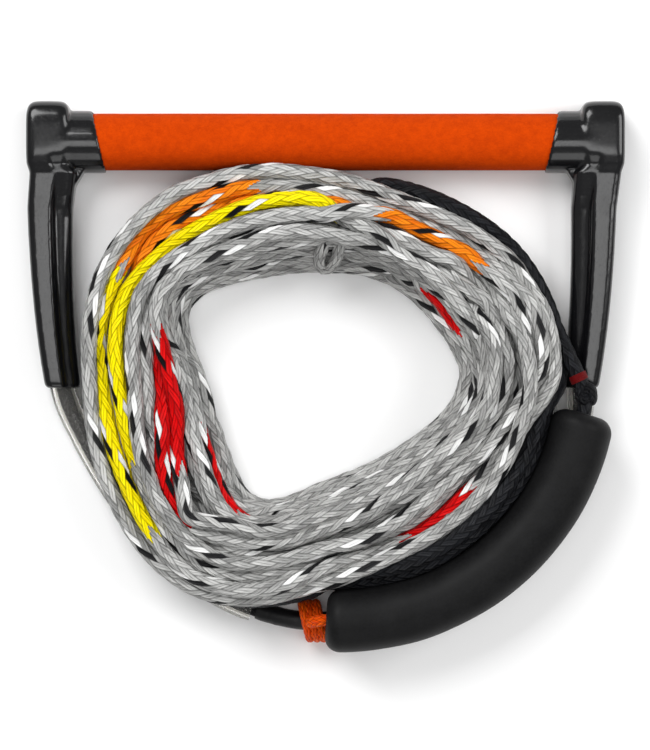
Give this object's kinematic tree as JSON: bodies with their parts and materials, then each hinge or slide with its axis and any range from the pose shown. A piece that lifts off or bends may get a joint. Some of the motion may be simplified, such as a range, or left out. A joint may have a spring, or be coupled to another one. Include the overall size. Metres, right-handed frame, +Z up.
{
  "type": "water-ski tow rope handle",
  "caption": "Tow handle with a sleeved bar, long moulded end caps, a rope bridle in clear hoses, a curved foam float and a coiled main line, stored flat.",
  "frame": {"origin": "middle of the footprint of the handle and float, on the surface that the object lies on", "axes": "+X along the bar to the right, +Y from the bridle's nose towards the bar, +Z up"},
  "size_m": [0.334, 0.3072, 0.051],
  "materials": {
    "aluminium": "satin anodised tube",
    "core_foam": "closed-cell foam",
    "plug": "moulded rubber",
    "grip": "orange suede-finish foam sleeve with a fine grain",
    "cap_rubber": "glossy moulded black rubber",
    "bush": "moulded plastic",
    "black_rope": "black braided rope",
    "clear_hose": "clear flexible hose",
    "shrink": "black shrink sleeve",
    "orange_rope": "orange braided rope",
    "float_foam": "matte black closed-cell foam",
    "red_rope": "red whipping",
    "main_line": "grey hollow-braid rope with black and white tracers and coloured stretches"
  },
  "bodies": {
    "handle": {"bar_tube": "aluminium", "bar_foam_core": "core_foam", "bar_plug_left": "plug", "bar_plug_right": "plug", "grip_sleeve": "grip", "end_cap_left": "cap_rubber", "end_cap_right": "cap_rubber", "rope_bush_left": "bush", "rope_bush_right": "bush", "bridle_knot_left": "black_rope", "bridle_knot_right": "black_rope", "bridle_rope": "black_rope", "bridle_tube_left": "clear_hose", "bridle_tube_right": "clear_hose", "nose_sleeve": "shrink", "leader_eye": "orange_rope", "leader_rope": "black_rope", "leader_knot": "black_rope", "leader_marker": "red_rope", "leader_tail": "black_rope", "rope_coil": "main_line", "boat_end_loop": "main_line"},
    "float": {"float": "float_foam"}
  },
  "joints": [
    {"name": "float_slide", "type": "hinge", "parent": "handle", "child": "float", "pos_m": [0.0086, 0.0006, 0.0335], "axis": [0, 0, 1], "range_deg": [0, 1.1]}
  ]
}
